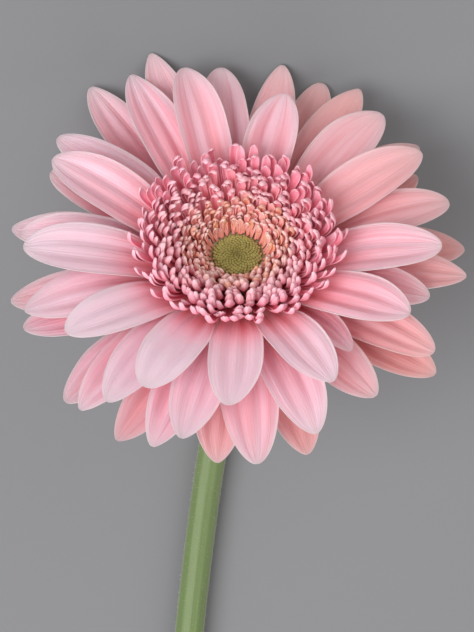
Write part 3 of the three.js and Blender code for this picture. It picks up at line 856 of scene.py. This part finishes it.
# name, CAD node, bow and width of each row
BRACT_ROWS = [("bracts_inner", "inner_bracts", 1.5, 3.6), ("bracts_outer", "outer_bracts", 2.0, 3.4)]
for row, (name, node, bow, width) in enumerate(BRACT_ROWS):
    bract_rng = np.random.default_rng(BRACT_SEED + row)
    count, first, foot, tip = ring_frame(node)
    bodies = []
    for k in range(count):
        angle = first + (k + bract_rng.uniform(-0.12, 0.12)) * FULL_TURN / count
        own_tip = stretched(foot, tip, BRACT_LENGTHENING + bract_rng.uniform(-0.12, 0.06))
        surface, thickness, grain = bract_surface(foot, own_tip, width, bow, bract_rng)
        bodies.append(closed_sheet(turned(surface, angle), thickness, grain))
    make_head_piece(name, gathered(bodies), bract_skin, [node])

# ---- Scape, in metres ---------------------------------------------------------------------

UP = np.array([0.0, 0.0, 1.0])
NECK_DEPTH = 0.006  # how far below the scape's highest point the end under the head is looked for
RIBS = 11
CUT_SLANT = math.tan(math.radians(30))
CUT_REACH = 0.012  # how far back from the cut its slant is spread
# The cut face from its firm rim to its sunken pith, as (share of the radius, depth)
CUT_RINGS = [(0.93, -0.00012), (0.84, 0.00008), (0.7, 0.0002), (0.5, 0.00026), (0.3, 0.0003), (0.12, 0.0003)]
HAIRS = 5200
HAIR_RADIUS = 0.000032
HAIR_CLEARANCE = 0.0001  # how far above the table the tips of the hairs have to be


def off_axis(point):
    """How far a point of the frame is from the head's axis."""
    away = point - HEAD_ORIGIN
    return np.linalg.norm(away - AXIS * (away @ AXIS))


def scape_rings():
    """The rings of the CAD scape's vertices from the head to the cut, found by walking its mesh."""
    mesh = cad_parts["scape"].data
    numbers, places, number_of = {}, [], []
    for vertex in mesh.vertices:
        place = tuple(round(c, 6) for c in vertex.co)
        if place not in numbers:
            numbers[place] = len(places)
            places.append(place)
        number_of.append(numbers[place])
    neighbours = [set() for _ in places]
    for a, b in (edge.vertices for edge in mesh.edges):
        neighbours[number_of[a]].add(number_of[b])
        neighbours[number_of[b]].add(number_of[a])
    places = np.array(places)
    highest = places[:, 2].max()
    neck = [k for k in range(len(places)) if places[k, 2] > highest - NECK_DEPTH]
    start = min(neck, key=lambda k: off_axis(places[k]))
    seen, layer, rings = {start}, {start}, []
    while layer:
        layer = set().union(*(neighbours[k] for k in layer)) - seen
        seen |= layer
        if len(layer) > 2:
            rings.append(places[sorted(layer)])
    return rings


def spline(x, xs, ys):
    """A smooth curve through the points ys at the distances xs, read at the distances x."""
    slopes = np.gradient(ys, xs, axis=0)
    k = np.clip(np.searchsorted(xs, x) - 1, 0, len(xs) - 2)
    span = xs[k + 1] - xs[k]
    t = (x - xs[k]) / span
    shape = (-1,) + (1,) * (ys.ndim - 1)
    t, span = t.reshape(shape), span.reshape(shape)
    place_part = (2 * t**3 - 3 * t**2 + 1) * ys[k] + (3 * t**2 - 2 * t**3) * ys[k + 1]
    slope_part = (t**3 - 2 * t**2 + t) * slopes[k] + (t**3 - t**2) * slopes[k + 1]
    return place_part + span * slope_part


rings = scape_rings()
centres = np.array([ring.mean(0) for ring in rings])
radii = np.array([np.linalg.norm(ring - ring.mean(0), axis=1).mean() for ring in rings])
radii[-1] = radii[-2]
run = np.concatenate([[0], np.cumsum(np.linalg.norm(np.diff(centres, axis=0), axis=1))])
SCAPE_RUN = run[-1]


def scape_points(distance, angle, grow=0.0):
    """Points of the scape's skin, and the directions out of it, at distances along it and angles round it."""
    distance, angle = np.broadcast_arrays(distance, angle)
    flat, turn = distance.ravel(), angle.ravel()
    radius = spline(flat, run, radii)
    cut = progress(flat, SCAPE_RUN - CUT_REACH, SCAPE_RUN) ** 2
    placed = np.clip(flat - np.sin(turn) * radius * CUT_SLANT * cut, 0, SCAPE_RUN + 0.01)
    inside = np.clip(placed, 0, SCAPE_RUN)
    ahead, behind = np.clip(inside + 1e-3, 0, SCAPE_RUN), inside - 1e-3
    tangent = unit(spline(ahead, run, centres) - spline(behind, run, centres))
    centre = spline(inside, run, centres) + tangent * (placed - inside)[:, None]
    side = unit(np.cross(UP, tangent))
    over = np.cross(tangent, side)
    out = side * np.cos(turn)[:, None] + over * np.sin(turn)[:, None]
    # ribs and a slight unevenness, to both sides of the CAD's skin
    ribbed = 1 + 0.016 * np.cos(RIBS * turn + 9 * flat) + 0.010 * np.sin(3 * turn + 40 * flat)
    points = centre + out * (radius * ribbed * (1 - 0.012) + grow)[:, None]
    return points.reshape(distance.shape + (3,)), out.reshape(distance.shape + (3,))


def stalk_body():
    """The ribbed skin, a flat end under the head, and the cut face with its pith."""
    distance = SCAPE_RUN * np.linspace(0, 1, SCAPE_ALONG)[:, None] ** 1.15
    angle = (np.arange(SCAPE_AROUND) * FULL_TURN / SCAPE_AROUND)[None, :]
    skin, _ = scape_points(distance, angle)
    points = skin.reshape(-1, 3)
    along = np.repeat(distance.ravel() / SCAPE_RUN, SCAPE_AROUND) * 0.8
    around = np.tile(np.sin(angle.ravel() * 2), SCAPE_ALONG)
    grain = grain_of(along, around, 0.5)
    under = np.zeros(len(points))
    faces = grid_faces(SCAPE_ALONG, SCAPE_AROUND, closed=True).tolist()
    faces.append(list(range(SCAPE_AROUND))[::-1])

    start = len(points) - SCAPE_AROUND
    cut_rim = points[start:]
    cut_middle = cut_rim.mean(0)
    inward = unit(centres[-2] - centres[-1])
    for share, sink in CUT_RINGS:
        next_start = len(points)
        points = np.concatenate([points, cut_middle + (cut_rim - cut_middle) * share + inward * sink])
        grain = np.concatenate([grain, [(share, 0.3, 0.8)] * SCAPE_AROUND])
        under = np.concatenate([under, np.ones(SCAPE_AROUND)])
        for k in range(SCAPE_AROUND):
            n = (k + 1) % SCAPE_AROUND
            faces.append([start + k, start + n, next_start + n, next_start + k])
        start = next_start
    faces.append(list(range(start, start + SCAPE_AROUND)))
    return points, faces, grain, under


def scape_material():
    """Fresh green skin, paler near the head, with faint ribs, and a pale wet pith where it is cut."""
    paler, mottling = (0.19, 0.25, 0.11), (0.14, 0.22, 0.05)
    head_to_cut = [(0.0, paler), (0.1, (0.14, 0.205, 0.075)), (0.8, (0.11, 0.18, 0.055))]
    pith_to_rim = [(0.5, (0.62, 0.66, 0.42)), (0.78, (0.50, 0.58, 0.28)), (0.9, (0.30, 0.42, 0.12))]
    s = Shader(
        "scape_skin",
        Subsurface_Weight=0.15,
        Subsurface_Radius=(0.5, 0.8, 0.2),
        Subsurface_Scale=0.002,
        Specular_IOR_Level=0.4,
        Sheen_Weight=0.35,
        Sheen_Roughness=0.4,
    )
    along, across, _ = s.grain()
    mottle = s.noise(s.place(), 160.0, 4.0, 0.6)
    streaks = s.streaks(s.times(across, 5.0), s.times(along, 7.0), 3.0, detail=3.0)
    colour = s.ramp(along, head_to_cut)
    colour = s.mix(s.fade(streaks, 0.4, 0.7, 0.0, 0.5), colour, paler)
    colour = s.mix(s.fade(mottle, 0.5, 0.75, 0.0, 0.25), colour, mottling)
    colour = s.mix(s.under(), colour, s.ramp(along, pith_to_rim))
    s.colour(colour)
    s.roughness(s.fade(mottle, 0.3, 0.7, 0.5, 0.4))
    s.bump(s.plus(mottle, streaks), 0.00025, 0.5)
    return s.material


make_piece("scape_stalk", stalk_body(), scape_material(), ["scape"])


def hair_body():
    """Fine short hairs all over the scape, thickest near the head, each a thin three-sided spike."""
    rng = np.random.default_rng(HAIR_SEED)
    where = SCAPE_RUN * rng.uniform(0.0, 1, HAIRS) ** 1.7
    turn = rng.uniform(0, FULL_TURN, HAIRS)
    root, out = scape_points(where, turn, -0.00003)  # rooted just under the skin
    length = 0.00035 + 0.00045 * rng.uniform(0, 1, HAIRS) * (1.3 - where / SCAPE_RUN)
    lean = rng.normal(0, 0.35, (HAIRS, 3))
    tip = root + unit(out + lean) * length[:, None]
    keep = tip[:, 2] > HAIR_CLEARANCE
    root, tip, out = root[keep], tip[keep], out[keep]
    first = unit(np.cross(out, [0.3, 0.5, 0.81]))
    second = np.cross(out, first)
    thirds = [k * FULL_TURN / 3 for k in range(3)]
    base = [root + (first * math.cos(a) + second * math.sin(a)) * HAIR_RADIUS for a in thirds]
    points = np.stack([*base, tip], 1).reshape(-1, 3)
    start = np.arange(len(root))[:, None, None] * 4
    faces = (start + np.array([(0, 2, 1), (0, 1, 3), (1, 2, 3), (2, 0, 3)])).reshape(-1, 3).tolist()
    grain = np.tile([(0.0, 0.0, 0.5)] * 3 + [(1.0, 0.0, 0.5)], (len(root), 1))
    return points, faces, grain, np.zeros(len(points))


make_piece("scape_hairs", hair_body(), hair_material("hair_skin", (0.66, 0.72, 0.50)), [])
